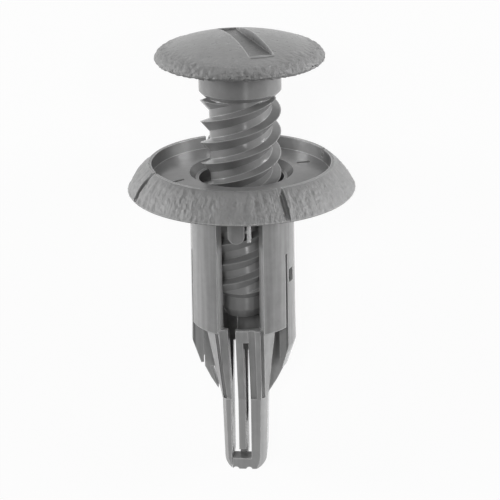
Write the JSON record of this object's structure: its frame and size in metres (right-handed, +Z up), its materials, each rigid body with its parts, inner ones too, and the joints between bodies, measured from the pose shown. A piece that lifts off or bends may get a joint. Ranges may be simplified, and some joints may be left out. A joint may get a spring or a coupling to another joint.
{
  "type": "screw-type push retainer",
  "caption": "Plastic panel retainer lying on its side: a slotted mushroom-head screw part way into a flanged grommet with a windowed barrel, side tangs and slotted nose.",
  "frame": {"origin": "on the floor under the middle of the part's box, as it lies on its side", "axes": "+Z up from the floor; +Y along the part toward the head, which is raised because the part rests on its flange rim and nose; the window side faces up"},
  "size_m": [0.02, 0.0406, 0.0198],
  "materials": {
    "screw_plastic": "satin, fine spark grain on the dome",
    "grommet_plastic": "satin, fine radial grain on the flange"
  },
  "bodies": {
    "grommet": {"grommet": "grommet_plastic"},
    "screw": {"screw": "screw_plastic"}
  },
  "joints": [
    {"name": "screw_travel", "type": "slide", "parent": "grommet", "child": "screw", "axis": [0, 0.9602, 0.2792], "range_m": [-0.0098, 0], "deforming": ["grommet"]}
  ]
}
